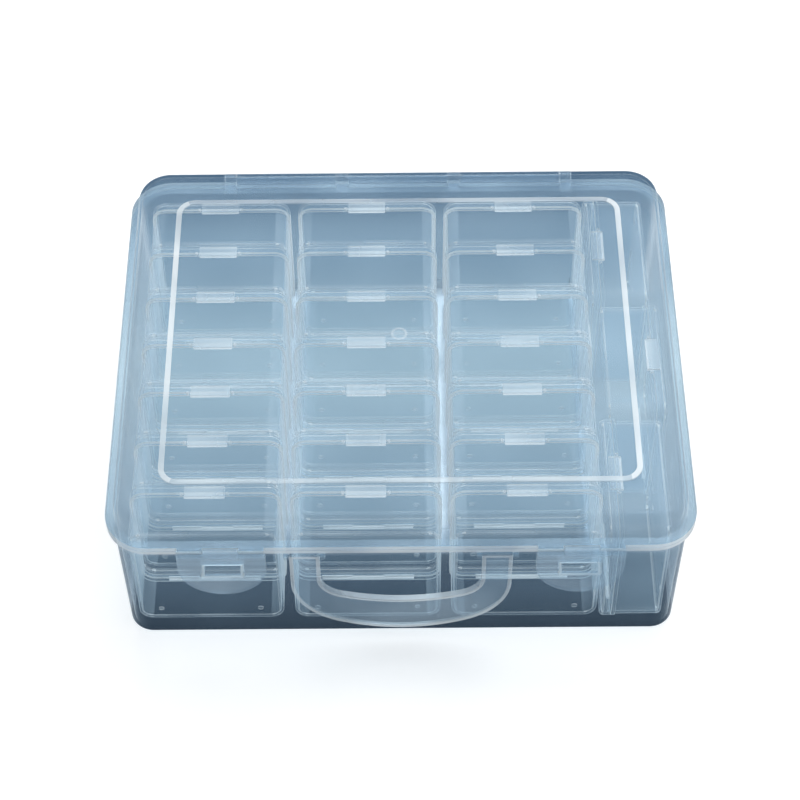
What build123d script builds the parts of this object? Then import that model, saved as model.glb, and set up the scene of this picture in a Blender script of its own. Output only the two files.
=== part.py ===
"""Clear bead organizer: a latched carrying case that holds 24 small boxes, each with its own lid.

Millimetres. The origin is the middle of the case's flat underside, +X is right, +Y is the rear
(hinge) side and +Z is up. The handle and the two latches are on the front, at -Y.
"""

import os
from math import asin, atan, degrees, sqrt

from build123d import *

# --- Case shell ---------------------------------------------------------------------------
LID_RISE = 14.0  # from the rim to the top of the lid
WALL = 1.4
FLOOR = 1.6
LID_PLATE = 1.5
FLANGE_OVERHANG = 3.5
FLANGE_THICKNESS = 2.0
FLANGE_RADIUS = 18.0
BASE_RADIUS = 11.0  # corner of the base's wall at the rim
BASE_DRAFT = 1.1  # each wall leans in by this much, from rim to floor
BASE_EDGE_RADIUS = 2.5
LID_DRAFT = 0.7
LID_EDGE_RADIUS = 4.0
RIM_GAP = 0.2  # between the two flanges

# --- Lid top -------------------------------------------------------------------------------
BEAD_END_INSET = 19.5  # in from the wall's outer face, left and right
BEAD_FRONT_INSET = 20.5  # the same, front and rear
BEAD_WIDTH = 2.3
BEAD_HEIGHT = 0.7
BEAD_RADIUS = 7.0
GATE_RADIUS = 3.4
GATE_WIDTH = 0.9
GATE_HEIGHT = 0.5

# --- Case hinge: a rod moulded on the base, gripped by slotted barrels on the lid -------------
HINGE_INSET = 41.0  # each end of the rod, in from the side of the case
HINGE_ROD_RADIUS = 1.5
HINGE_RADIUS = 2.9
HINGE_PLAY = 0.1
HINGE_REACH = 3.25  # rod's centre, out from the flanges' rear edge
HINGE_LUG_WIDTH = 5.0
HINGE_LUGS = 4
HINGE_END_PLAY = 0.4
HINGE_SLOT = 2.3

# --- Front latches --------------------------------------------------------------------------
LATCH_END_INSET = 47.5  # a latch's middle, in from the side of the case
LATCH_WIDTH = 35.8
LATCH_LENGTH = 29.2  # from its pin to the bottom of its half-round end
LATCH_THICKNESS = 1.6
LATCH_REACH = 2.7  # pin's centre, out from the flanges' front edge
LATCH_INSET = 1.4  # the flap's middle plane, in from its pin
LATCH_BARREL_RADIUS = 2.3
LATCH_BARREL_WIDTH = 13.8
LATCH_SHOULDER_GAP = 0.5  # below the lid's ears
LATCH_PIN_RADIUS = 1.1
LATCH_PLAY = 0.1
LATCH_EAR_WIDTH = 10.2
LATCH_END_PLAY = 0.4
CATCH_WIDTH = 17.0
CATCH_HEIGHT = 7.2
CATCH_DROP = 7.8  # from the rim to the catch's top
CATCH_PROUD = 0.8  # how far the catch stands out of the latch's face
CATCH_WALL = 1.2
CATCH_SLOPE = 1.6
WINDOW_PLAY = 0.4
WINDOW_SLACK = 0.9  # above the catch
WINDOW_RADIUS = 1.0

# --- Carrying handle -------------------------------------------------------------------------
HANDLE_LATCH_GAP = 9.4  # from the handle's outer edge to a latch's flap
HANDLE_ARM = 12.2
HANDLE_GRIP = 20.8
HANDLE_FLOOR_GAP = 9.3  # below the grip, where the handle hangs
HANDLE_THICKNESS = 2.4
HANDLE_OUTER_CORNER = 30.0
HANDLE_OUTER_SWEEP = 69.0
HANDLE_INNER_CORNER = 12.0
HANDLE_INNER_SWEEP = 80.0
HANDLE_LIP = 1.5
HANDLE_RECESS = 0.6  # the face between the lips
HANDLE_SETBACK = 1.6  # pivot, in from the flange's front edge
HANDLE_DROP = 5.2  # pivot, below the rim
HANDLE_PIN_RADIUS = 1.1
HANDLE_PLAY = 0.1
HANDLE_EAR_WIDTH = 2.0
HANDLE_EAR_RADIUS = 2.1
HANDLE_END_PLAY = 0.3

# --- Small boxes -------------------------------------------------------------------------------
BOX_SIZE = 62.6  # the lid's outline is a rounded square
BOX_THICKNESS = 26.0
BOX_LID_THICKNESS = 4.8
BOX_RADIUS = 6.3
BOX_WALL = 1.0
BOX_SKIN = 0.9  # the two large faces
BOX_STEP = 0.6  # the body stands in from its own rim
BOX_RIM = 1.6
BOX_LID_EDGE = 1.7
BOX_BASE_EDGE = 1.8
BOX_SEAM = 0.1
BOX_LIP_HEIGHT = 1.2  # the base's lip, inside the lid
BOX_LIP_PLAY = 0.15
BOX_HINGE_LENGTH = 39.5
BOX_HINGE_RADIUS = 0.9
BOX_HINGE_OUT = 0.3  # rod's centre, out from the box's edge
BOX_HINGE_PLAY = 0.15
BOX_BARREL_LENGTH = 13.4
BOX_ROD_RADIUS = 0.45
BOX_TAB_WIDTH = 16.6
BOX_TAB_HEIGHT = 0.9
BOX_TAB_HOOK = 0.9
BOX_TAB_ROOT = 2.6  # how far the tab runs back over the lid's side
BOX_TAB_PLAY = 0.12
BOX_ROD_PLAY = 0.08
BOX_SLOT = 0.8  # in the lid's barrel, so that it snaps over the rod
BOX_PIP_SPACING = 19.0
BOX_PIP_RADIUS = 0.7
BOX_PIP_HEIGHT = 0.8
BOX_FOOT_SPACING = 42.0
BOX_FOOT_UP = 9.0
BOX_FOOT_RADIUS = 1.2
BOX_FOOT_HEIGHT = 0.2

# --- How the boxes stand in the case: the case takes its size from them ------------------------
COLUMNS = 3
ROWS = 7
SIDE_BOXES = 3
STANDING_GAP = 0.3
RIM_OVER_BOXES = 1.5
COLUMN_MARGIN = 2.3  # the case's left wall to the first column
COLUMN_GAP = 3.6
SIDE_GAP = 0.6  # last column to the side column
SIDE_SLACK = 3.4  # the side boxes' room to stand to the left or the right
SIDE_WALL_PLAY = 0.7  # the turned box to the case's right wall
SIDE_BOX_GAP = 0.4
SIDE_END_PLAY = 0.75  # side boxes to the front and rear walls
SIDE_SHIFT = 0.2
ROW_GAP = 0.45
ROW_MARGIN = 2.7  # first and last row to the front and rear walls
ROW_SHIFT = 0.25

# --- Worked out from the above -----------------------------------------------------------------
hinge_drop = BOX_HINGE_RADIUS + BOX_HINGE_OUT
box_mid = hinge_drop + BOX_SIZE / 2
box_top = hinge_drop + BOX_SIZE
box_bottom = -BOX_THICKNESS / 2
box_face = BOX_THICKNESS / 2
seam = box_face - BOX_LID_THICKNESS
rim_top = seam - BOX_SEAM
rim_low = rim_top - BOX_RIM
body_size = BOX_SIZE - 2 * BOX_STEP
body_radius = BOX_RADIUS - BOX_STEP

box_low = FLOOR + STANDING_GAP
rim_height = box_low + box_top + RIM_OVER_BOXES
foot_lean = BASE_DRAFT * (1 - box_low / rim_height)
column_pitch = BOX_SIZE + COLUMN_GAP
columns_width = COLUMN_MARGIN + COLUMNS * column_pitch - COLUMN_GAP
inside_width = columns_width + SIDE_GAP + BOX_THICKNESS + SIDE_SLACK + SIDE_WALL_PLAY
rows_depth = ROWS * (BOX_THICKNESS + ROW_GAP) - ROW_GAP + 2 * ROW_MARGIN
side_depth = SIDE_BOXES * (BOX_SIZE + SIDE_BOX_GAP) - SIDE_BOX_GAP + 2 * SIDE_END_PLAY
inside_depth = max(rows_depth, side_depth)
row_pitch = (inside_depth - 2 * ROW_MARGIN - BOX_THICKNESS) / (ROWS - 1)
side_pitch = (inside_depth - 2 * SIDE_END_PLAY - BOX_SIZE) / (SIDE_BOXES - 1)
wall_width = inside_width + 2 * (WALL + foot_lean)
wall_depth = inside_depth + 2 * (WALL + foot_lean)
case_width = wall_width + 2 * FLANGE_OVERHANG
case_depth = wall_depth + 2 * FLANGE_OVERHANG

base_taper = degrees(atan(BASE_DRAFT / rim_height))
lid_low = rim_height + RIM_GAP
lid_top = rim_height + LID_RISE
lid_taper = degrees(atan(LID_DRAFT / (lid_top - lid_low)))
bead_length = wall_width - 2 * BEAD_END_INSET
bead_depth = wall_depth - 2 * BEAD_FRONT_INSET
hinge_y = case_depth / 2 + HINGE_REACH
hinge_z = rim_height + RIM_GAP / 2
hinge_length = case_width - 2 * HINGE_INSET
lug_pitch = (hinge_length - HINGE_LUG_WIDTH) / (HINGE_LUGS - 1)
latch_x = case_width / 2 - LATCH_END_INSET
latch_y = -case_depth / 2 - LATCH_REACH
latch_z = lid_low + FLANGE_THICKNESS / 2
flap_y = latch_y + LATCH_INSET
catch_top = rim_height - CATCH_DROP
catch_low = catch_top - CATCH_HEIGHT
handle_y = -case_depth / 2 + HANDLE_SETBACK
handle_z = rim_height - HANDLE_DROP
handle_half = latch_x - LATCH_WIDTH / 2 - HANDLE_LATCH_GAP
arm_x = handle_half - HANDLE_ARM / 2


def lean(height: float) -> float:
    """How far the base's wall stands in at a height, from where it is at the rim."""
    return BASE_DRAFT * (1 - height / rim_height)


def bar(radius: float, length: float, x: float, y: float, z: float, mode: Mode = Mode.ADD) -> None:
    """A round bar along X, added to or cut from the part being built."""
    with Locations((x, y, z)):
        Cylinder(radius, length, rotation=(0, 90, 0), mode=mode)


def block(x: float, width: float, y: tuple, z: tuple, mode: Mode = Mode.ADD) -> None:
    """A block centred on x, between two depths and two heights."""
    with Locations((x, (y[0] + y[1]) / 2, (z[0] + z[1]) / 2)):
        Box(width, abs(y[1] - y[0]), abs(z[1] - z[0]), mode=mode)


# --- Case base -----------------------------------------------------------------------------------


def build_tub() -> None:
    """Drafted outer walls, the rim flange and the hollow."""
    with BuildSketch(Plane.XY.offset(rim_height)) as wall:
        RectangleRounded(wall_width, wall_depth, BASE_RADIUS)
    tub = extrude(wall.sketch, amount=-rim_height, taper=base_taper)
    fillet(tub.faces().sort_by(Axis.Z)[0].edges(), BASE_EDGE_RADIUS)
    with BuildSketch(Plane.XY.offset(rim_height - FLANGE_THICKNESS)) as flange:
        RectangleRounded(case_width, case_depth, FLANGE_RADIUS)
    extrude(flange.sketch, amount=FLANGE_THICKNESS)
    with BuildSketch(Plane.XY.offset(rim_height)) as hollow:
        RectangleRounded(wall_width - 2 * WALL, wall_depth - 2 * WALL, BASE_RADIUS - WALL)
    extrude(hollow.sketch, amount=FLOOR - rim_height, taper=base_taper, mode=Mode.SUBTRACT)


def build_hinge_rod() -> None:
    """Lugs off the rear wall that carry one long rod."""
    root = wall_depth / 2 - WALL / 2
    for i in range(HINGE_LUGS):
        x = i * lug_pitch - (hinge_length - HINGE_LUG_WIDTH) / 2
        bar(HINGE_RADIUS, HINGE_LUG_WIDTH, x, hinge_y, hinge_z)
        block(x, HINGE_LUG_WIDTH, (root, hinge_y), (hinge_z - HINGE_RADIUS, rim_height))
    bar(HINGE_ROD_RADIUS, hinge_length, 0, hinge_y, hinge_z)


def build_catch(x: float) -> None:
    """A block on the front wall, sloped on top and open underneath, that fills a latch's window."""
    tip = flap_y - LATCH_THICKNESS / 2 - CATCH_PROUD
    root = -wall_depth / 2 + lean(catch_low) + WALL / 2
    with BuildSketch(Plane.YZ.offset(x - CATCH_WIDTH / 2)) as profile:
        with BuildLine():
            Polyline(
                (root, catch_low),
                (tip, catch_low),
                (tip, catch_top - CATCH_SLOPE),
                (tip + CATCH_SLOPE, catch_top),
                (root, catch_top),
                close=True,
            )
        make_face()
    extrude(profile.sketch, amount=CATCH_WIDTH)
    pocket = (tip + CATCH_WALL, root - WALL)
    ceiling = catch_top - CATCH_SLOPE - CATCH_WALL
    block(x, CATCH_WIDTH - 2 * CATCH_WALL, pocket, (catch_low - 1, ceiling), Mode.SUBTRACT)


def build_handle_ear(x: float) -> None:
    """An ear under the flange with a bore for one of the handle's pins."""
    wall_y = -wall_depth / 2 + lean(handle_z) + WALL / 2
    under_flange = rim_height - FLANGE_THICKNESS / 2
    bar(HANDLE_EAR_RADIUS, HANDLE_EAR_WIDTH, x, handle_y, handle_z)
    block(x, HANDLE_EAR_WIDTH, (handle_y, wall_y), (handle_z - HANDLE_EAR_RADIUS, under_flange))
    bar(HANDLE_PIN_RADIUS + HANDLE_PLAY, HANDLE_EAR_WIDTH, x, handle_y, handle_z, Mode.SUBTRACT)


with BuildPart() as case_base:
    build_tub()
    build_hinge_rod()
    ear_step = HANDLE_ARM / 2 + HANDLE_END_PLAY + HANDLE_EAR_WIDTH / 2
    for side in (-1, 1):
        build_catch(side * latch_x)
        build_handle_ear(side * arm_x - ear_step)
        build_handle_ear(side * arm_x + ear_step)
case_base.part.label = "case_base"


# --- Case lid --------------------------------------------------------------------------------------


def build_lid_shell() -> None:
    """Drafted wall with a rounded top edge, the flange and the hollow."""
    radius = FLANGE_RADIUS - FLANGE_OVERHANG
    with BuildSketch(Plane.XY.offset(lid_low)) as wall:
        RectangleRounded(wall_width, wall_depth, radius)
    shell = extrude(wall.sketch, amount=lid_top - lid_low, taper=lid_taper)
    fillet(shell.faces().sort_by(Axis.Z)[-1].edges(), LID_EDGE_RADIUS)
    with BuildSketch(Plane.XY.offset(lid_low)) as flange:
        RectangleRounded(case_width, case_depth, FLANGE_RADIUS)
    extrude(flange.sketch, amount=FLANGE_THICKNESS)
    with BuildSketch(Plane.XY.offset(lid_low)) as hollow:
        RectangleRounded(wall_width - 2 * WALL, wall_depth - 2 * WALL, radius - WALL)
    depth = lid_top - LID_PLATE - lid_low
    pocket = extrude(hollow.sketch, amount=depth, taper=lid_taper, mode=Mode.PRIVATE)
    ceiling = pocket.faces().sort_by(Axis.Z)[-1]
    add(pocket.fillet(LID_EDGE_RADIUS - LID_PLATE, ceiling.edges()), mode=Mode.SUBTRACT)


def build_lid_marks() -> None:
    """The raised line around the top, and the ring that the moulding gate leaves."""
    grow = BEAD_WIDTH / 2
    with BuildSketch(Plane.XY.offset(lid_top)) as bead:
        RectangleRounded(bead_length + 2 * grow, bead_depth + 2 * grow, BEAD_RADIUS + grow)
        RectangleRounded(
            bead_length - 2 * grow, bead_depth - 2 * grow, BEAD_RADIUS - grow, mode=Mode.SUBTRACT
        )
    extrude(bead.sketch, amount=BEAD_HEIGHT)
    with BuildSketch(Plane.XY.offset(lid_top)) as gate:
        Circle(GATE_RADIUS)
        Circle(GATE_RADIUS - GATE_WIDTH, mode=Mode.SUBTRACT)
    extrude(gate.sketch, amount=GATE_HEIGHT)


def build_lid_barrel(x: float) -> None:
    """A slotted barrel behind the flange that snaps over the base's rod."""
    length = lug_pitch - HINGE_LUG_WIDTH - 2 * HINGE_END_PLAY
    bar(HINGE_RADIUS, length, x, hinge_y, hinge_z)
    block(x, length, (case_depth / 2 - FLANGE_OVERHANG, hinge_y), (lid_low, lid_low + FLANGE_THICKNESS))
    bar(HINGE_ROD_RADIUS + HINGE_PLAY, length, x, hinge_y, hinge_z, Mode.SUBTRACT)
    with Locations((x, hinge_y + HINGE_RADIUS / 2, hinge_z - HINGE_RADIUS / 2)):
        Box(length, HINGE_SLOT, 2 * HINGE_RADIUS, rotation=(45, 0, 0), mode=Mode.SUBTRACT)


def build_latch_ears(x: float) -> None:
    """A pair of ears in front of the flange, with the latch's pin moulded across them."""
    reach = LATCH_BARREL_WIDTH / 2 + LATCH_END_PLAY + LATCH_EAR_WIDTH / 2
    for ear_x in (x - reach, x + reach):
        bar(LATCH_BARREL_RADIUS, LATCH_EAR_WIDTH, ear_x, latch_y, latch_z)
        root = -case_depth / 2 + FLANGE_OVERHANG
        block(ear_x, LATCH_EAR_WIDTH, (latch_y, root), (lid_low, lid_low + FLANGE_THICKNESS))
    bar(LATCH_PIN_RADIUS, 2 * reach, x, latch_y, latch_z)


with BuildPart() as case_lid:
    build_lid_shell()
    build_lid_marks()
    for i in range(HINGE_LUGS - 1):
        build_lid_barrel((i + 0.5) * lug_pitch - (hinge_length - HINGE_LUG_WIDTH) / 2)
    for side in (-1, 1):
        build_latch_ears(side * latch_x)
case_lid.part.label = "case_lid"


# --- Latches ----------------------------------------------------------------------------------------


def build_latch(x: float) -> None:
    """A flap with a half-round end that hangs from the lid, and a window for the base's catch."""
    shoulder = latch_z - LATCH_BARREL_RADIUS - LATCH_SHOULDER_GAP
    round_mid = latch_z - LATCH_LENGTH + LATCH_WIDTH / 2
    window_low = catch_low - WINDOW_PLAY
    window_top = catch_top + WINDOW_SLACK
    with BuildSketch(Plane.XZ.offset(-flap_y - LATCH_THICKNESS / 2)) as flap:
        with Locations((x, round_mid)):
            Circle(LATCH_WIDTH / 2)
        with Locations((x, round_mid + LATCH_WIDTH / 2)):
            Rectangle(LATCH_WIDTH, LATCH_WIDTH, mode=Mode.SUBTRACT)
        with Locations((x, (round_mid + shoulder) / 2)):
            Rectangle(LATCH_WIDTH, shoulder - round_mid)
        with Locations((x, (shoulder + latch_z) / 2)):
            Rectangle(LATCH_BARREL_WIDTH, latch_z - shoulder)
        with Locations((x, (window_low + window_top) / 2)):
            RectangleRounded(
                CATCH_WIDTH + 2 * WINDOW_PLAY, window_top - window_low, WINDOW_RADIUS, mode=Mode.SUBTRACT
            )
    extrude(flap.sketch, amount=LATCH_THICKNESS)
    bar(LATCH_BARREL_RADIUS, LATCH_BARREL_WIDTH, x, latch_y, latch_z)
    bar(LATCH_PIN_RADIUS + LATCH_PLAY, LATCH_BARREL_WIDTH, x, latch_y, latch_z, Mode.SUBTRACT)


with BuildPart() as latch_left:
    build_latch(-latch_x)
latch_left.part.label = "latch_left"

with BuildPart() as latch_right:
    build_latch(latch_x)
latch_right.part.label = "latch_right"


# --- Carrying handle -------------------------------------------------------------------------------


def bow(half: float, top: float, low: float, corner: float, sweep: float) -> Face:
    """A U with straight arms, one shallow arc below and a tangent corner arc on each side."""
    corner_x = half - corner
    corner_z = low + sweep - sqrt((sweep - corner) ** 2 - corner_x**2)
    turn = degrees(asin(corner_x / (sweep - corner)))
    with BuildLine() as outline:
        Polyline((-half, corner_z), (-half, top), (half, top), (half, corner_z))
        CenterArc((corner_x, corner_z), corner, turn - 90, 90 - turn)
        CenterArc((0, low + sweep), sweep, -90 - turn, 2 * turn)
        CenterArc((-corner_x, corner_z), corner, 180, 90 - turn)
    return make_face(outline.edges(), mode=Mode.PRIVATE)


def handle_face(lip: float) -> Sketch:
    """The handle's face, drawn in by a lip along both of its edges."""
    with BuildSketch(Plane.XZ.offset(HANDLE_THICKNESS / 2 - handle_y)) as face:
        outer = bow(
            handle_half - lip,
            handle_z - lip,
            HANDLE_FLOOR_GAP + lip,
            HANDLE_OUTER_CORNER - lip,
            HANDLE_OUTER_SWEEP - lip,
        )
        inner = bow(
            handle_half - HANDLE_ARM + lip,
            handle_z + HANDLE_THICKNESS,
            HANDLE_FLOOR_GAP + HANDLE_GRIP - lip,
            HANDLE_INNER_CORNER + lip,
            HANDLE_INNER_SWEEP + lip,
        )
        add(outer)
        add(inner, mode=Mode.SUBTRACT)
    return face.sketch


with BuildPart() as carry_handle:
    extrude(handle_face(0), amount=-HANDLE_THICKNESS)
    extrude(handle_face(HANDLE_LIP), amount=-HANDLE_RECESS, mode=Mode.SUBTRACT)
    for side in (-1, 1):
        bar(HANDLE_THICKNESS / 2, HANDLE_ARM, side * arm_x, handle_y, handle_z)
        pin_length = HANDLE_ARM + 2 * (HANDLE_END_PLAY + HANDLE_EAR_WIDTH)
        bar(HANDLE_PIN_RADIUS, pin_length, side * arm_x, handle_y, handle_z)
carry_handle.part.label = "carry_handle"


# --- Small box, standing on its hinge with its lid at +Y and its base at -Y ---------------------


def slab(size: float, radius: float, start: float, end: float, mode: Mode = Mode.ADD) -> Part:
    """A rounded square, standing, between two depths of the box."""
    with BuildSketch(Plane.XZ.offset(-start)) as outline:
        with Locations((0, box_mid)):
            RectangleRounded(size, size, radius)
    return extrude(outline.sketch, amount=start - end, mode=mode)


barrel_length = (BOX_HINGE_LENGTH - BOX_BARREL_LENGTH) / 2 - BOX_HINGE_PLAY
barrel_x = (BOX_HINGE_LENGTH - barrel_length) / 2
hinge_gap = BOX_BARREL_LENGTH + 2 * BOX_HINGE_PLAY

with BuildPart() as box_base:
    body = slab(body_size, body_radius, box_bottom, rim_top)
    fillet(body.faces().sort_by(Axis.Y)[0].edges(), BOX_BASE_EDGE)
    slab(BOX_SIZE, BOX_RADIUS, rim_low, rim_top)
    lip_inset = BOX_WALL + BOX_LIP_PLAY
    slab(BOX_SIZE - 2 * lip_inset, BOX_RADIUS - lip_inset, rim_low, rim_top + BOX_LIP_HEIGHT)
    pocket = slab(
        body_size - 2 * BOX_WALL,
        body_radius - BOX_WALL,
        box_bottom + BOX_SKIN,
        rim_top + BOX_LIP_HEIGHT,
        Mode.PRIVATE,
    )
    pocket_end = pocket.faces().sort_by(Axis.Y)[0]
    add(pocket.fillet(BOX_BASE_EDGE - BOX_SKIN, pocket_end.edges()), mode=Mode.SUBTRACT)
    for side in (-1, 1):
        bar(BOX_HINGE_RADIUS, barrel_length, side * barrel_x, seam, BOX_HINGE_RADIUS)
        with Locations((side * BOX_PIP_SPACING / 2, (rim_low + rim_top) / 2, box_top)):
            Cylinder(BOX_PIP_RADIUS, 2 * BOX_PIP_HEIGHT)
        with Locations((side * BOX_FOOT_SPACING / 2, box_bottom, hinge_drop + BOX_FOOT_UP)):
            Cylinder(BOX_FOOT_RADIUS, 2 * BOX_FOOT_HEIGHT, rotation=(90, 0, 0))
    bar(BOX_HINGE_RADIUS + BOX_HINGE_PLAY, hinge_gap, 0, seam, BOX_HINGE_RADIUS, Mode.SUBTRACT)
    bar(BOX_ROD_RADIUS, hinge_gap, 0, seam, BOX_HINGE_RADIUS)
box_base.part.label = "box_base"

with BuildPart() as box_lid:
    shell = slab(BOX_SIZE, BOX_RADIUS, seam, box_face)
    fillet(shell.faces().sort_by(Axis.Y)[-1].edges(), BOX_LID_EDGE)
    pocket = slab(
        BOX_SIZE - 2 * BOX_WALL, BOX_RADIUS - BOX_WALL, seam, box_face - BOX_SKIN, Mode.PRIVATE
    )
    pocket_end = pocket.faces().sort_by(Axis.Y)[-1]
    add(pocket.fillet(BOX_LID_EDGE - BOX_SKIN, pocket_end.edges()), mode=Mode.SUBTRACT)
    for side in (-1, 1):
        cleared = barrel_length + 2 * BOX_HINGE_PLAY
        cut_radius = BOX_HINGE_RADIUS + BOX_HINGE_PLAY
        bar(cut_radius, cleared, side * barrel_x, seam, BOX_HINGE_RADIUS, Mode.SUBTRACT)
    bar(BOX_HINGE_RADIUS, BOX_BARREL_LENGTH, 0, seam, BOX_HINGE_RADIUS)
    bar(BOX_ROD_RADIUS + BOX_ROD_PLAY, BOX_BARREL_LENGTH, 0, seam, BOX_HINGE_RADIUS, Mode.SUBTRACT)
    slot = (BOX_HINGE_RADIUS - BOX_SLOT / 2, BOX_HINGE_RADIUS + BOX_SLOT / 2)
    block(0, BOX_BARREL_LENGTH, (seam - BOX_HINGE_RADIUS, seam), slot, Mode.SUBTRACT)
    hook_back = rim_low - BOX_TAB_PLAY
    hook_front = hook_back - BOX_TAB_HOOK
    tab_back = seam + BOX_TAB_ROOT
    tab_top = box_top + BOX_TAB_HEIGHT
    block(0, BOX_TAB_WIDTH, (hook_front, tab_back), (box_top + BOX_TAB_PLAY, tab_top))
    block(0, BOX_TAB_WIDTH, (seam, tab_back), (box_top - BOX_WALL / 2, tab_top))
    block(0, BOX_TAB_WIDTH, (hook_front, hook_back), (box_top - BOX_STEP + BOX_TAB_PLAY, tab_top))
box_lid.part.label = "box_lid"

# --- Each box in its place ----------------------------------------------------------------------

first_x = COLUMN_MARGIN + (BOX_SIZE - inside_width) / 2
side_x = columns_width + SIDE_GAP + (BOX_THICKNESS - inside_width) / 2
turned_x = inside_width / 2 - SIDE_WALL_PLAY - BOX_THICKNESS / 2
places = []
for column in range(COLUMNS):
    for row in range(ROWS):
        x = first_x + column_pitch * column
        y = ROW_SHIFT + row_pitch * (row - (ROWS - 1) / 2)
        places.append(Location((x, y, box_low)))
for row in range(SIDE_BOXES):
    y = SIDE_SHIFT + side_pitch * (row - (SIDE_BOXES - 1) / 2)
    if row % 2 == 0:
        places.append(Location((side_x, y, box_low), (0, 0, 90)))
    else:
        places.append(Location((turned_x, y, box_low), (0, 0, -90)))

# --- Files --------------------------------------------------------------------------------------

os.makedirs("parts", exist_ok=True)
export_step(case_base.part, "parts/case_base.step")
export_step(case_lid.part, "parts/case_lid.step")
export_step(latch_left.part, "parts/latch_left.step")
export_step(latch_right.part, "parts/latch_right.step")
export_step(carry_handle.part, "parts/carry_handle.step")
for number, place in enumerate(places, start=1):
    for piece in (box_base, box_lid):
        placed = piece.part.moved(place)
        placed.label = f"{piece.part.label}_{number:02d}"
        export_step(placed, f"parts/{placed.label}.step")
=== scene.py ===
"""Clear bead organizer, dressed for rendering: a latched plastic case full of small lidded boxes.

The frame brings every shape. This script gives each face its plastic, and builds the studio and the camera.
"""

from __future__ import annotations

import logging
import math
from dataclasses import dataclass, replace
from enum import IntEnum
from functools import cache

import bpy
from mathutils import Matrix, Vector


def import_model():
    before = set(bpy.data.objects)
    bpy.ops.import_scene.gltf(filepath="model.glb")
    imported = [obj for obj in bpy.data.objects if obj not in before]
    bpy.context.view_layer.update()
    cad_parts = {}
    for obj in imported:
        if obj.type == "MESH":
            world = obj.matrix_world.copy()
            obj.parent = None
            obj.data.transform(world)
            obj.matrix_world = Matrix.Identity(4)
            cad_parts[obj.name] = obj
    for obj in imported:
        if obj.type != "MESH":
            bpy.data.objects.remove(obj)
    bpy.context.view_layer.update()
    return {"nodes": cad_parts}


LOG = logging.getLogger("organizer")
MILLIMETRE = 0.001
MICROMETRE = 1e-6
WHITE = (1.0, 1.0, 1.0, 1.0)
PALE_HIGHLIGHT = (0.88, 0.92, 0.93, 1.0)  # painted highlight: the colour a skin turns to as its share grows, as on edge-on plastic

Colour = tuple[float, float, float]
Point = tuple[float, float, float]
Span = tuple[float, float]


class Wiring:
    """Adds nodes to one material or world, and joins them up."""

    def __init__(self, owner: bpy.types.Material | bpy.types.World) -> None:
        """Start with an empty node tree.

        Args:
            owner: The material or world that the nodes go into.
        """
        owner.use_nodes = True
        self.nodes = owner.node_tree.nodes
        self.links = owner.node_tree.links
        self.nodes.clear()

    def add(
        self,
        kind: str,
        inputs: dict[str | int, bpy.types.NodeSocket | float | tuple[float, ...]],
        **settings: str,
    ) -> bpy.types.Node:
        """Add a node.

        Args:
            kind: The node's type.
            inputs: By an input's name or number, its value or the socket that it is joined to.
            **settings: The node's own settings, such as a math node's operation.

        Returns:
            The new node.
        """
        node = self.nodes.new(kind)
        for name, setting in settings.items():
            setattr(node, name, setting)
        for name, value in inputs.items():
            if isinstance(value, bpy.types.NodeSocket):
                self.links.new(value, node.inputs[name])
            else:
                node.inputs[name].default_value = value
        return node

    def calculate(
        self, operation: str, one: bpy.types.NodeSocket, other: bpy.types.NodeSocket | float = 0.0
    ) -> bpy.types.NodeSocket:
        """Add a math node.

        Args:
            operation: The math node's operation.
            one: What goes into its first input.
            other: What goes into its second input, which some operations leave unread.

        Returns:
            The socket with the result.
        """
        return self.add("ShaderNodeMath", {0: one, 1: other}, operation=operation).outputs[0]

    def ramp(
        self,
        value: bpy.types.NodeSocket,
        start: float,
        end: float,
        first: bpy.types.NodeSocket | float,
        last: float,
    ) -> bpy.types.NodeSocket:
        """Add a clamped ramp.

        Args:
            value: What the ramp runs over.
            start: The value where the ramp starts.
            end: The value where it ends.
            first: The result up to the start.
            last: The result from the end on.

        Returns:
            The socket with the result.
        """
        inputs = {"Value": value, "From Min": start, "From Max": end, "To Min": first, "To Max": last}
        return self.add("ShaderNodeMapRange", inputs).outputs["Result"]

    def place(self) -> bpy.types.NodeSocket:
        """Give the socket with the shaded point's place on its object."""
        return self.add("ShaderNodeTexCoord", {}).outputs["Object"]

    def axes(self, place: bpy.types.NodeSocket) -> bpy.types.NodeOutputs:
        """Give the outputs X, Y and Z with a place's coordinates."""
        return self.add("ShaderNodeSeparateXYZ", {0: place}).outputs

    def surface(self, share: bpy.types.NodeSocket, first: bpy.types.Node, second: bpy.types.Node) -> None:
        """Mix two shaders and make the result the surface.

        Args:
            share: How much of the second shader there is.
            first: The shader that a share of 0 shows.
            second: The shader that a share of 1 shows.
        """
        mix = self.add("ShaderNodeMixShader", {0: share, 1: first.outputs[0], 2: second.outputs[0]})
        self.add("ShaderNodeOutputMaterial", {"Surface": mix.outputs[0]})


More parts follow.
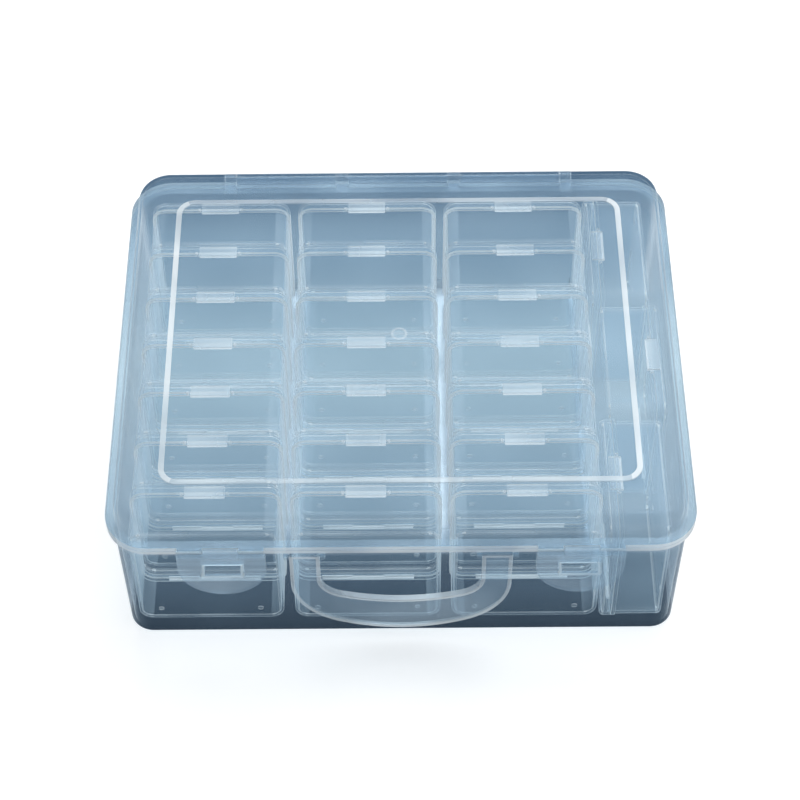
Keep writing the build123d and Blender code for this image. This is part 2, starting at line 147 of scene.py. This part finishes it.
@dataclass(frozen=True)
class PaintedLightZones:
    """Where painted light makes the case's plastic paler: level with its rims, where the plastic is also
    thick, and on its floor between the columns.

    Attributes:
        rim_heights: The heights between which the case is thick with rims.
        rim_softness: How far the painted light takes to fade above and below them.
        gap_places: Where the gaps between the columns of boxes are, along X.
        gap_half_width: Half the width of the painted light under a gap.
        gap_softness: How far it takes to fade at its sides and its top.
        gap_top: The height below which the case's floor lies.
        gap_start: Where it rises from nothing to its full strength, along Y.
    """

    rim_heights: Span = (59.5 * MILLIMETRE, 73.5 * MILLIMETRE)
    rim_softness: float = 1.5 * MILLIMETRE
    gap_places: Point = (-47.3 * MILLIMETRE, 18.9 * MILLIMETRE, 84.2 * MILLIMETRE)
    gap_half_width: float = 4.2 * MILLIMETRE
    gap_softness: float = 1.5 * MILLIMETRE
    gap_top: float = 8 * MILLIMETRE
    gap_start: Span = (-58 * MILLIMETRE, -42 * MILLIMETRE)

    def rim(self, wiring: Wiring, axes: bpy.types.NodeOutputs, most: float) -> bpy.types.NodeSocket:
        """Work out the painted light along the rims.

        Args:
            wiring: The material's wiring.
            axes: The outputs with the shaded point's coordinates.
            most: The painted light at its strongest.

        Returns:
            The socket with the painted light.
        """
        low, high = self.rim_heights
        rising = wiring.ramp(axes["Z"], low - self.rim_softness, low, 0.0, most)
        falling = wiring.ramp(axes["Z"], high, high + self.rim_softness, 1.0, 0.0)
        return wiring.calculate("MULTIPLY", rising, falling)

    def gaps(self, wiring: Wiring, axes: bpy.types.NodeOutputs, most: float) -> list[bpy.types.NodeSocket]:
        """Work out the painted light on the floor under each gap between two columns.

        Args:
            wiring: The material's wiring.
            axes: The outputs with the shaded point's coordinates.
            most: The painted light at its strongest.

        Returns:
            The sockets with the painted light, one for each gap.
        """
        behind = wiring.ramp(axes["Y"], *self.gap_start, 0.0, most)
        below = wiring.ramp(axes["Z"], self.gap_top - self.gap_softness, self.gap_top, 1.0, 0.0)
        on_floor = wiring.calculate("MULTIPLY", behind, below)
        side = self.gap_half_width
        hazes = []
        for middle in self.gap_places:
            distance = wiring.calculate("ABSOLUTE", wiring.calculate("SUBTRACT", axes["X"], middle))
            near = wiring.ramp(distance, side - self.gap_softness, side, 1.0, 0.0)
            hazes.append(wiring.calculate("MULTIPLY", near, on_floor))
        return hazes


@dataclass(frozen=True)
class ClearPlastic:
    """A moulded see-through plastic.

    Each surface passes tinted light straight through. The rest of it is a skin, whose share grows where the
    surface is seen edge on;
    as it grows the skin is painted pale, a painted highlight that stands in for the bright edges of real
    clear plastic.

    Attributes:
        name: The material's name.
        tint: What light keeps of its colour on its way through one surface.
        skin: The skin's colour where it is thin.
        veil: The skin's share of a surface that faces the eye.
        edge_on: The skin's share of a surface that is seen edge on, where the skin is painted pale as a
            highlight.
        mirror: How much the skin reflects like metal.
        roughness: How soft the skin's reflections are.
        flow_size: The size of the flow marks that moulding leaves, in metres.
        flow: How much the flow marks change the veil, up and down.
        rim_painted_light: The extra share of skin level with the case's rims.
        gap_painted_light: The extra share of skin on the floor between the columns.
    """

    name: str
    tint: Colour
    skin: Colour
    veil: float
    edge_on: float
    mirror: float = 0.0
    roughness: float = 0.35
    flow_size: float = 20 * MILLIMETRE
    flow: float = 0.3
    rim_painted_light: float = 0.0
    gap_painted_light: float = 0.0

    @cache
    def material(self) -> bpy.types.Material:
        """Build the material the first time it is asked for, and give the same one from then on.

        Returns:
            The material, with its node tree.
        """
        material = bpy.data.materials.new(self.name)
        wiring = Wiring(material)
        share = self.skin_share(wiring)
        # the skin's colour is painted towards the highlight colour as its share grows
        shades = {"Factor": share, "A": (*self.skin, 1.0), "B": PALE_HIGHLIGHT}
        colour = wiring.add("ShaderNodeMix", shades, data_type="RGBA").outputs["Result"]
        finish = {"Base Color": colour, "Roughness": self.roughness, "Metallic": self.mirror}
        skin = wiring.add("ShaderNodeBsdfPrincipled", finish)
        clear = wiring.add("ShaderNodeBsdfTransparent", {"Color": (*self.tint, 1.0)})
        wiring.surface(share, clear, skin)
        return material

    def skin_share(self, wiring: Wiring) -> bpy.types.NodeSocket:
        """Work out how much of the surface is skin, and so how pale it is painted: the veil and any painted
        light, rising where it is edge on as a painted highlight.

        Args:
            wiring: The material's wiring.

        Returns:
            The socket with the share.
        """
        noise_low, noise_high = 0.3, 0.7  # nearly all of a noise texture lies between these
        even = 0.5  # the blend at which Layer Weight follows the angle evenly
        steepness = 6.0  # how fast the painted highlight grows as a surface is seen more edge on
        zones = PaintedLightZones()
        place = wiring.place()
        axes = wiring.axes(place)
        marks = wiring.add(
            "ShaderNodeTexNoise", {"Vector": place, "Scale": 1.0 / self.flow_size, "Detail": 0.0}
        )
        thin, thick = self.veil * (1.0 - self.flow), self.veil * (1.0 + self.flow)
        least = wiring.ramp(marks.outputs["Fac"], noise_low, noise_high, thin, thick)
        # painted light: a paler skin level with the case's rims and on its floor under the gaps between the
        # columns
        if self.rim_painted_light:
            least = wiring.calculate("ADD", least, zones.rim(wiring, axes, self.rim_painted_light))
        if self.gap_painted_light:
            for gap_light in zones.gaps(wiring, axes, self.gap_painted_light):
                least = wiring.calculate("ADD", least, gap_light)
        # Layer Weight's facing, raised to a power, paints the pale highlight where the surface is seen edge
        # on
        facing = wiring.add("ShaderNodeLayerWeight", {"Blend": even}).outputs["Facing"]
        painted_edge_highlight = wiring.calculate("POWER", facing, steepness)
        return wiring.ramp(painted_edge_highlight, 0.0, 1.0, least, self.edge_on)


CASE_BASE = ClearPlastic(
    name="clear_base",
    tint=(0.90, 0.93, 0.95),
    skin=(0.52, 0.70, 0.86),
    veil=0.006,
    edge_on=0.8,
    mirror=0.3,
    roughness=0.10,
    flow_size=30 * MILLIMETRE,
    # painted light: a paler band level with the rims and paler strips on the floor under the gaps
    rim_painted_light=0.16,
    gap_painted_light=0.48,
)
CASE_LID = ClearPlastic(
    name="clear_lid",
    tint=(0.94, 0.962, 0.98),
    skin=(0.56, 0.76, 0.90),
    veil=0.026,
    edge_on=0.9,
    mirror=0.3,
    roughness=0.10,
    flow_size=30 * MILLIMETRE,
    # painted light level with the rims, slight on the lid
    rim_painted_light=0.02,
)
# rims and small rounded edges get larger veils and paler skins than the walls: a painted highlight along
# them
CASE_RIM = ClearPlastic(
    name="case_rim",
    tint=(0.92, 0.95, 0.97),
    skin=(0.62, 0.80, 0.92),
    veil=0.07,
    edge_on=0.95,
    mirror=0.3,
    roughness=0.14,
    flow_size=30 * MILLIMETRE,
)
CASE_EDGE_HIGHLIGHT = replace(CASE_RIM, name="case_edge_highlight", skin=(0.95, 0.98, 0.99), veil=0.75, mirror=0.2)
# the raised lines and the flange's outer side get a pale skin: a painted highlight, weaker on the fainter
# trace
RAISED_LINE_HIGHLIGHT = replace(
    CASE_RIM,
    name="raised_line_highlight",
    skin=(0.90, 0.95, 0.97),
    veil=0.45,
    edge_on=0.7,
    mirror=0.1,
    roughness=0.3,
)
RAISED_TRACE_HIGHLIGHT = replace(RAISED_LINE_HIGHLIGHT, name="raised_trace_highlight", skin=(0.84, 0.92, 0.96), veil=0.26)
GRIP = ClearPlastic(
    name="clear_grip",
    tint=(0.90, 0.94, 0.965),
    skin=(0.55, 0.75, 0.92),
    veil=0.16,
    edge_on=0.95,
    mirror=0.2,
    roughness=0.2,
    flow_size=30 * MILLIMETRE,
)
# the handle's and latches' rims get a paler skin: a painted highlight
GRIP_LIP_HIGHLIGHT = replace(GRIP, name="grip_lip_highlight", skin=(0.85, 0.93, 0.97), veil=0.4)
# the small boxes' lids get a paler copy of their bases' plastic: painted light on their upper faces, with
# the duller copy on the bases
BOX_TOP_LIT = ClearPlastic(
    name="box_top_lit", tint=(0.975, 0.985, 0.99), skin=(0.56, 0.77, 0.92), veil=0.012, edge_on=0.9
)
BOX_LOW_SHADED = replace(BOX_TOP_LIT, name="box_low_shaded", skin=(0.54, 0.76, 0.92), veil=0.007)
# the boxes' bends, rims and edges get larger veils and paler skins than their walls: a painted highlight
# along them
BOX_BEND = ClearPlastic(
    name="box_bend", tint=(0.97, 0.98, 0.986), skin=(0.66, 0.84, 0.96), veil=0.09, edge_on=0.95
)
BOX_RIM_HIGHLIGHT = ClearPlastic(
    name="box_rim_highlight", tint=(0.96, 0.975, 0.985), skin=(0.82, 0.91, 0.95), veil=0.27, edge_on=0.95
)
BOX_EDGE_HIGHLIGHT = replace(BOX_RIM_HIGHLIGHT, name="box_edge_highlight", skin=(0.95, 0.98, 0.99), veil=0.75, roughness=0.3)
# the side-on boxes' walls get a larger veil than the other boxes' walls: painted light on their faces that
# turn to the front
SIDE_BOX_LIT = replace(BOX_RIM_HIGHLIGHT, name="side_box", skin=(0.54, 0.75, 0.90), veil=0.07, edge_on=0.4)


class Kind(IntEnum):
    """What part of a moulding a face belongs to. The numbers are those of the material slots."""

    WALL = 0
    BEND = 1
    RIM = 2
    EDGE = 3
    LINE = 4
    TRACE = 5


class FaceSorter:
    """Tells the broad walls of a moulding from its rims and from its small rounded edges.

    A flat strip's width and its turn to the next strip give the radius of the bend that it is part of.
    """

    SAME_PLANE = math.radians(1.0)  # faces that turn by less than this are one flat strip
    SMOOTH_TURN = math.radians(25)  # strips that turn by less than this are parts of one bend
    WALL_WIDTH = 6 * MILLIMETRE  # strips wider than this are walls
    EDGE_WIDTH = 1.15 * MILLIMETRE  # strips narrower than this are edges, unless their bend is wide
    LARGE_BEND = 4.6 * MILLIMETRE  # strips on a wider radius than this are a bend between walls
    SMALL_BEND = 2.05 * MILLIMETRE  # strips on a wider radius than this look like a rim
    LEAST_TURN = 1e-3  # these two keep the divisions away from zero
    LEAST_SIDE = 1e-9

    def __init__(self, mesh: bpy.types.Mesh) -> None:
        """Read the mesh and find which faces lie in one plane.

        Args:
            mesh: A triangulated mesh in metres.
        """
        self.faces = mesh.polygons
        self.strip = list(range(len(self.faces)))
        places = [tuple(round(c / MICROMETRE) for c in v.co) for v in mesh.vertices]
        self.sides: dict[tuple, list[int]] = {}
        for face in self.faces:
            corners = [places[v] for v in face.vertices]
            for start, end in zip(corners, corners[1:] + corners[:1]):
                self.sides.setdefault((min(start, end), max(start, end)), []).append(face.index)
        for owners in self.sides.values():
            if len(owners) == 2 and self.turn(*owners) < self.SAME_PLANE:
                self.strip[self.leader(owners[0])] = self.leader(owners[1])

    def turn(self, one: int, other: int) -> float:
        """Give the angle between two faces.

        Args:
            one: A face's index.
            other: Another face's index.

        Returns:
            The angle between their normals, in radians.
        """
        return math.acos(max(-1.0, min(1.0, self.faces[one].normal.dot(self.faces[other].normal))))

    def leader(self, face: int) -> int:
        """Find the face that stands for a face's flat strip.

        Args:
            face: The face's index.

        Returns:
            The index of the strip's leading face.
        """
        while self.strip[face] != face:
            self.strip[face] = self.strip[self.strip[face]]
            face = self.strip[face]
        return face

    def kinds(self) -> list[Kind]:
        """Sort the faces by how wide their flat strip is and how tightly it bends on.

        Returns:
            Each face's kind.
        """
        leaders = [self.leader(face.index) for face in self.faces]
        area = dict.fromkeys(leaders, 0.0)
        outline = dict.fromkeys(leaders, 0.0)
        least_turn = dict.fromkeys(leaders, math.pi)
        for face in self.faces:
            area[leaders[face.index]] += face.area
        for (start, end), owners in self.sides.items():
            strips = [leaders[face] for face in owners]
            if len(strips) == 2 and strips[0] == strips[1]:
                continue
            for strip in strips:
                outline[strip] += (Vector(start) - Vector(end)).length * MICROMETRE
                if len(owners) == 2:
                    least_turn[strip] = min(least_turn[strip], self.turn(*owners))
        found = {strip: self.kind_of(area[strip], outline[strip], least_turn[strip]) for strip in area}
        return [found[strip] for strip in leaders]

    def kind_of(self, area: float, outline: float, turn: float) -> Kind:
        """Tell a flat strip's kind, taking it as a rectangle with the same area and outline.

        Args:
            area: The strip's area.
            outline: The length of its outline.
            turn: The least angle to a neighbour, in radians.

        Returns:
            The strip's kind.
        """
        quarter = outline / 4
        spread = math.sqrt(max(quarter**2 - area, 0.0))
        width = area / max(quarter + spread, self.LEAST_SIDE)
        radius = width / max(turn, self.LEAST_TURN)
        smooth = turn < self.SMOOTH_TURN
        if smooth and radius > self.LARGE_BEND and width < self.WALL_WIDTH:
            return Kind.BEND
        if width > self.WALL_WIDTH:
            return Kind.WALL
        if width > self.EDGE_WIDTH or (smooth and radius > self.SMALL_BEND):
            return Kind.RIM
        return Kind.EDGE


@dataclass(frozen=True)
class Moulding:
    """A moulded piece, with the plastic of each kind of face.

    Attributes:
        wall: The plastic of broad walls.
        bend: The plastic of the wide bends between walls.
        rim: The plastic of rims, ribs and barrels, painted paler than the walls as a highlight.
        edge: The plastic of small rounded edges, painted nearly white as a highlight.
        line: The plastic of crisp pale lines, a painted highlight on raised lines, on the flange's outer
            side and on the catches' edges.
        trace: The plastic of fainter pale lines, a weaker painted highlight on the raised line along the
            lid's front and rear and on its ring.
        front: Before this, along Y, are the catches, the flaps, the handle and their hinges.
        front_hinge_low: Above this are the hinges of the flaps and the handle.
    """

    wall: ClearPlastic
    bend: ClearPlastic
    rim: ClearPlastic
    edge: ClearPlastic
    line: ClearPlastic = RAISED_LINE_HIGHLIGHT
    trace: ClearPlastic = RAISED_TRACE_HIGHLIGHT
    front: float = -98.6 * MILLIMETRE
    front_hinge_low: float = 59.5 * MILLIMETRE

    def dress(self, node: bpy.types.Object) -> None:
        """Give a node its materials, and each of its faces one of them.

        Args:
            node: The node's object.
        """
        mesh = node.data
        mesh.materials.clear()
        for plastic in (self.wall, self.bend, self.rim, self.edge, self.line, self.trace):
            mesh.materials.append(plastic.material())
        for face, kind in zip(mesh.polygons, FaceSorter(mesh).kinds()):
            face.material_index = int(self.placed_kind(mesh, face, kind))
        LOG.info("dressed %s", node.name)

    def placed_kind(self, mesh: bpy.types.Mesh, face: bpy.types.MeshPolygon, kind: Kind) -> Kind:
        """Correct a face's kind by its place. A plain moulding has nothing to correct.

        Args:
            mesh: The piece's mesh.
            face: One of its faces.
            kind: The kind that its shape gives it.

        Returns:
            The kind that it gets.
        """
        return kind

    def in_front_hinge(self, face: bpy.types.MeshPolygon, kind: Kind) -> bool:
        """Tell whether a face is one of the small faces of the hinges at the case's front.

        Args:
            face: The face.
            kind: The kind that its shape gives it.

        Returns:
            True if it is.
        """
        small = kind in (Kind.RIM, Kind.EDGE)
        return small and face.center.y < self.front and face.center.z > self.front_hinge_low


@dataclass(frozen=True)
class Fitting(Moulding):
    """The handle or a latch, whose hinge is as clear as its walls."""

    def placed_kind(self, mesh: bpy.types.Mesh, face: bpy.types.MeshPolygon, kind: Kind) -> Kind:
        """Keep the hinge clear.

        Args:
            mesh: The piece's mesh.
            face: One of its faces.
            kind: The kind that its shape gives it.

        Returns:
            The kind that it gets.
        """
        return Kind.WALL if self.in_front_hinge(face, kind) else kind


@dataclass(frozen=True)
class CaseHalf(Moulding):
    """The case's base or lid: a shell with a flange all round and a hinge at the rear.

    Attributes:
        flange_half: Half of the flange's width and depth.
        flange_radius: The radius of its corners.
        flange_heights: The heights between which the outer sides of both flanges lie.
        flange_slack: How far a face may lie from the flange's outline and still be on it.
        flange_lean: How far an outer side may lean, as a sine.
        rear_hinge: Behind this, along Y, are the rear hinge's faces, which stay clear.
        long_side: At the front hinges, a small face that is longer than this is the flange's.
    """

    flange_half: Span = (119.97 * MILLIMETRE, 101.02 * MILLIMETRE)
    flange_radius: float = 18 * MILLIMETRE
    flange_heights: Span = (64 * MILLIMETRE, 70.5 * MILLIMETRE)
    flange_slack: float = 0.9 * MILLIMETRE
    flange_lean: float = 0.3
    rear_hinge: float = 100.5 * MILLIMETRE
    long_side: float = 15 * MILLIMETRE

    def placed_kind(self, mesh: bpy.types.Mesh, face: bpy.types.MeshPolygon, kind: Kind) -> Kind:
        """Paint the flange's outer side as a crisp pale line, a painted highlight, and keep the hinges from
        showing as edges.

        Args:
            mesh: The piece's mesh.
            face: One of its faces.
            kind: The kind that its shape gives it.

        Returns:
            The kind that it gets.
        """
        if self.on_flange_edge(face):
            return Kind.LINE
        if face.center.y > self.rear_hinge:
            return Kind.WALL
        feature = self.feature_kind(face, kind)
        if feature is not None:
            return feature
        if self.in_front_hinge(face, kind) and self.longest_side(mesh, face) < self.long_side:
            return Kind.RIM
        return kind

    def feature_kind(self, face: bpy.types.MeshPolygon, kind: Kind) -> Kind | None:
        """Tell the kind of a face on a feature that only this half of the case has.

        Args:
            face: One of its faces.
            kind: The kind that its shape gives it.

        Returns:
            The kind that it gets, or None if it is on no such feature.
        """
        return None

    def on_flange_edge(self, face: bpy.types.MeshPolygon) -> bool:
        """Tell whether a face is on the narrow outer side of a flange.

        Args:
            face: The face.

        Returns:
            True if it is.
        """
        half_width, half_depth = self.flange_half
        across = max(abs(face.center.x) - half_width + self.flange_radius, 0.0)
        along = max(abs(face.center.y) - half_depth + self.flange_radius, 0.0)
        beyond = math.hypot(across, along) - self.flange_radius
        low, high = self.flange_heights
        level = low < face.center.z < high and abs(face.normal.z) < self.flange_lean
        return level and abs(beyond) < self.flange_slack

    @staticmethod
    def longest_side(mesh: bpy.types.Mesh, face: bpy.types.MeshPolygon) -> float:
        """Measure a face's longest side.

        Args:
            mesh: The mesh that the face belongs to.
            face: The face.

        Returns:
            The length, in metres.
        """
        corners = [mesh.vertices[v].co for v in face.vertices]
        return max((one - other).length for one, other in zip(corners, corners[1:] + corners[:1]))


@dataclass(frozen=True)
class CaseBase(CaseHalf):
    """The case's base, which has the two catches.

    Attributes:
        catch_heights: The heights between which the catches lie.
    """

    catch_heights: Span = (51 * MILLIMETRE, 60 * MILLIMETRE)

    def feature_kind(self, face: bpy.types.MeshPolygon, kind: Kind) -> Kind | None:
        """Make the catches paler than the wall, with painted highlights along their edges.

        Args:
            face: One of the base's faces.
            kind: The kind that its shape gives it.

        Returns:
            The kind that it gets, or None if it isn't on a catch.
        """
        low, high = self.catch_heights
        if face.center.y < self.front and low < face.center.z < high:
            return Kind.LINE if kind == Kind.EDGE else Kind.RIM
        return None


@dataclass(frozen=True)
class CaseLid(CaseHalf):
    """The case's lid, which has a raised line around its top and a small ring inside it.

    Attributes:
        mark_height: Everything above this is the raised line or the ring.
        mark_side: Beyond this, along X, the raised line runs along the lid's sides.
    """

    mark_height: float = 81.3 * MILLIMETRE
    mark_side: float = 93 * MILLIMETRE

    def feature_kind(self, face: bpy.types.MeshPolygon, kind: Kind) -> Kind | None:
        """Paint a highlight on the raised line, stronger along the lid's sides than along its front and
        rear.

        Args:
            face: One of the lid's faces.
            kind: The kind that its shape gives it.

        Returns:
            The kind that it gets, or None if it isn't on the line or the ring.
        """
        if face.center.z > self.mark_height:
            return Kind.LINE if abs(face.center.x) > self.mark_side else Kind.TRACE
        return None


@dataclass(frozen=True)
class SmallBoxPart(Moulding):
    """A small box's base or lid."""

    def dress(self, node: bpy.types.Object) -> None:
        """Dress the node, and let light reach the rest of the stack as if it weren't there.

        Args:
            node: The node's object.
        """
        super().dress(node)
        node.visible_shadow = False
        node.visible_diffuse = False


@dataclass(frozen=True)
class Organizer:
    """The whole organizer: the case with its fittings, and the small boxes in it.

    Attributes:
        case_base: The case's base.
        case_lid: The case's lid.
        carry_handle: The handle.
        latch: Each of the two latches.
        box_base: Each small box's base.
        box_lid: Each small box's lid.
        side_boxes: The numbers of the small boxes that stand side on.
    """

    case_base: Moulding = CaseBase(CASE_BASE, CASE_BASE, CASE_RIM, CASE_EDGE_HIGHLIGHT)
    case_lid: Moulding = CaseLid(CASE_LID, CASE_LID, CASE_RIM, CASE_EDGE_HIGHLIGHT)
    carry_handle: Moulding = Fitting(GRIP, GRIP_LIP_HIGHLIGHT, GRIP_LIP_HIGHLIGHT, CASE_EDGE_HIGHLIGHT)
    latch: Moulding = Fitting(GRIP, GRIP, GRIP_LIP_HIGHLIGHT, CASE_EDGE_HIGHLIGHT)
    box_base: Moulding = SmallBoxPart(BOX_LOW_SHADED, BOX_BEND, BOX_RIM_HIGHLIGHT, BOX_EDGE_HIGHLIGHT)
    box_lid: Moulding = SmallBoxPart(BOX_TOP_LIT, BOX_BEND, BOX_RIM_HIGHLIGHT, BOX_EDGE_HIGHLIGHT)
    side_boxes: tuple[str, ...] = ("22", "23", "24")

    def moulding(self, name: str) -> Moulding:
        """Find the moulding that a node is.

        Args:
            name: The node's name.

        Returns:
            The moulding.
        """
        mouldings = {
            "case_base": self.case_base,
            "case_lid": self.case_lid,
            "carry_handle": self.carry_handle,
            "latch": self.latch,
            "box_base": self.box_base,
            "box_lid": self.box_lid,
        }
        found = next(moulding for start, moulding in mouldings.items() if name.startswith(start))
        side_on = name.startswith("box") and name.endswith(self.side_boxes)
        # the side-on boxes' walls get the paler plastic: painted light
        return replace(found, wall=SIDE_BOX_LIT) if side_on else found

    def dress(self, nodes: dict[str, bpy.types.Object]) -> None:
        """Dress every node.

        Args:
            nodes: The frame's nodes by their names.
        """
        for name, node in nodes.items():
            self.moulding(name).dress(node)


@dataclass(frozen=True)
class Studio:
    """A pale floor, a plain world and soft lamps.

    Attributes:
        floor_size: The floor's side.
        floor_drop: How far the floor lies under the case.
        floor_colour: The floor's colour.
        floor_roughness: The floor's roughness.
        floor_glow: What makes the floor whiter. Only the camera sees it, so it lights nothing.
        table_light_and_shade_span: Where the table that shows through the plastic starts and ends, along Y.
        table_light_and_shade_stops: The table's colours from front to rear, each with its place from 0 to 1.
        world_light: How brightly the world shines. The camera sees it at 1.
        lamp_aim: The point that the lamps face.
        see_through: How many clear surfaces a ray may pass.
        bounces: How often light may bounce in all.
        kind_bounces: How often it may bounce off matt surfaces, and how often off glossy ones.
    """

    floor_size: float = 6.0
    floor_drop: float = 0.2 * MILLIMETRE
    floor_colour: Colour = (0.95, 0.95, 0.95)
    floor_roughness: float = 0.9
    floor_glow: float = 0.22
    table_light_and_shade_span: Span = (-100 * MILLIMETRE, 170 * MILLIMETRE)
    # painted light and shade: the table glows dark in front, brightest in the middle like a pool of lamp
    # light, and darker again at the rear
    table_light_and_shade_stops: tuple[tuple[float, Colour], ...] = (
        (0.0, (0.03, 0.045, 0.065)),
        (0.12, (0.08, 0.11, 0.15)),
        (0.28, (0.37, 0.455, 0.52)),
        (0.54, (0.56, 0.655, 0.70)),
        (0.85, (0.27, 0.375, 0.47)),
        (1.0, (0.06, 0.12, 0.20)),
    )
    world_light: float = 0.6
    lamp_aim: Point = (0.0, 0.0, 0.04)
    see_through: int = 64
    bounces: int = 2
    kind_bounces: int = 1

    def build(self) -> None:
        """Make the floor, the world and the lamps, and say how far light is followed."""
        scene = bpy.context.scene
        scene.view_settings.view_transform = "Standard"
        scene.cycles.transparent_max_bounces = self.see_through
        scene.cycles.max_bounces = self.bounces
        scene.cycles.diffuse_bounces = self.kind_bounces
        scene.cycles.glossy_bounces = self.kind_bounces
        self.floor()
        self.world()
        self.lamp("studio_rear", place=(0.1, 0.6, 1.05), size=0.9, power=7.0)
        self.lamp("studio_side", place=(0.9, 0.0, 0.8), size=0.8, power=3.0)

    def floor(self) -> None:
        """Make the floor."""
        mesh = bpy.data.meshes.new("studio_floor")
        half = self.floor_size / 2
        corners = [(-half, -half), (half, -half), (half, half), (-half, half)]
        mesh.from_pydata([(x, y, -self.floor_drop) for x, y in corners], [], [(0, 1, 2, 3)])
        mesh.materials.append(self.floor_material())
        floor = bpy.data.objects.new("studio_floor", mesh)
        bpy.context.scene.collection.objects.link(floor)

    def floor_material(self) -> bpy.types.Material:
        """Make the floor's material: pale by itself, and a glowing slate table where it's seen through the
        case, with light and shade painted on it.

        Returns:
            The material.
        """
        none_passed = 0.5  # a ray's transparent depth is above this once it has passed a clear surface
        material = bpy.data.materials.new("studio_floor")
        wiring = Wiring(material)
        path = wiring.add("ShaderNodeLightPath", {}).outputs
        finish = {
            "Base Color": (*self.floor_colour, 1.0),
            "Roughness": self.floor_roughness,
            "Emission Color": WHITE,
            "Emission Strength": wiring.calculate("MULTIPLY", path["Is Camera Ray"], self.floor_glow),
        }
        pale = wiring.add("ShaderNodeBsdfPrincipled", finish)
        # the table's painted light and shade runs along Y
        along = wiring.ramp(wiring.axes(wiring.place())["Y"], *self.table_light_and_shade_span, 0.0, 1.0)
        slate = wiring.add("ShaderNodeValToRGB", {"Fac": along})
        slate.color_ramp.interpolation = "EASE"
        for stop, _ in self.table_light_and_shade_stops[1:-1]:
            slate.color_ramp.elements.new(stop)
        for element, (_, colour) in zip(slate.color_ramp.elements, self.table_light_and_shade_stops):
            element.color = (*colour, 1.0)
        # the painted table glows though it is no lamp; only camera rays that have passed the plastic see it
        table = wiring.add("ShaderNodeEmission", {"Color": slate.outputs["Color"]})
        passed = wiring.calculate("GREATER_THAN", path["Transparent Depth"], none_passed)
        wiring.surface(wiring.calculate("MULTIPLY", passed, path["Is Camera Ray"]), pale, table)
        return material

    def world(self) -> None:
        """Make a white world that the camera sees brighter than it shines."""
        world = bpy.data.worlds.new("studio_world")
        wiring = Wiring(world)
        camera_ray = wiring.add("ShaderNodeLightPath", {}).outputs["Is Camera Ray"]
        strength = wiring.ramp(camera_ray, 0.0, 1.0, self.world_light, 1.0)
        background = wiring.add("ShaderNodeBackground", {"Color": WHITE, "Strength": strength})
        wiring.add("ShaderNodeOutputWorld", {"Surface": background.outputs[0]})
        bpy.context.scene.world = world

    def lamp(self, name: str, place: Point, size: float, power: float) -> None:
        """Add a square soft lamp that points at the case.

        Args:
            name: The lamp's name.
            place: Where it stands, in metres.
            size: Its side, in metres.
            power: Its power, in watts.
        """
        light = bpy.data.lights.new(name, "AREA")
        light.size = size
        light.energy = power
        lamp = bpy.data.objects.new(name, light)
        lamp.location = place
        aim = Vector(self.lamp_aim) - Vector(place)
        lamp.rotation_euler = aim.to_track_quat("-Z", "Y").to_euler()
        bpy.context.scene.collection.objects.link(lamp)


@dataclass(frozen=True)
class Camera:
    """The camera: where it looks, how steeply, and how far away it stands.

    Attributes:
        image_width: The picture's width, in pixels.
        sensor: The sensor's width, in millimetres.
        focal_pixels: The focal length, in pixels.
        pitch: How steeply it looks down, in degrees.
        yaw: How far it is turned about the upright axis, in degrees.
        roll: How far it is tilted sideways, in degrees.
        target: The point that it looks at, in millimetres.
        distance: How far it stands from that point, in millimetres.
        shift_pixels: How far the picture is shifted, in pixels.
    """

    image_width: float = 800.0
    sensor: float = 36.0
    focal_pixels: float = 2262.0
    pitch: float = 52.0
    yaw: float = -0.61
    roll: float = -0.94
    target: Point = (-6.75, -9.58, 40.0)
    distance: float = 985.3
    shift_pixels: Span = (-15.73, 12.07)

    def build(self) -> None:
        """Make the scene's camera."""
        pitch, yaw, roll = (math.radians(a) for a in (self.pitch, self.yaw, self.roll))
        forward = Vector(
            (math.sin(yaw) * math.cos(pitch), math.cos(yaw) * math.cos(pitch), -math.sin(pitch))
        )
        right = Vector((math.cos(yaw), -math.sin(yaw), 0.0))
        up = right.cross(forward)
        turned_right = right * math.cos(roll) + up * math.sin(roll)
        turned_up = up * math.cos(roll) - right * math.sin(roll)
        data = bpy.data.cameras.new("camera")
        data.sensor_width = self.sensor
        data.lens = self.focal_pixels * self.sensor / self.image_width
        data.shift_x = -self.shift_pixels[0] / self.image_width
        data.shift_y = self.shift_pixels[1] / self.image_width
        camera = bpy.data.objects.new("camera", data)
        place = (Vector(self.target) - forward * self.distance) * MILLIMETRE
        axes = Matrix((turned_right, turned_up, -forward)).transposed()
        camera.matrix_world = Matrix.Translation(place) @ axes.to_4x4()
        bpy.context.scene.collection.objects.link(camera)
        bpy.context.scene.camera = camera


def main() -> None:
    """Build the studio and the camera and dress each piece of the organizer."""
    logging.basicConfig(level=logging.INFO, format="%(name)s: %(message)s")
    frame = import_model()
    Studio().build()
    Camera().build()
    Organizer().dress(frame["nodes"])


if __name__ == "__main__":
    main()
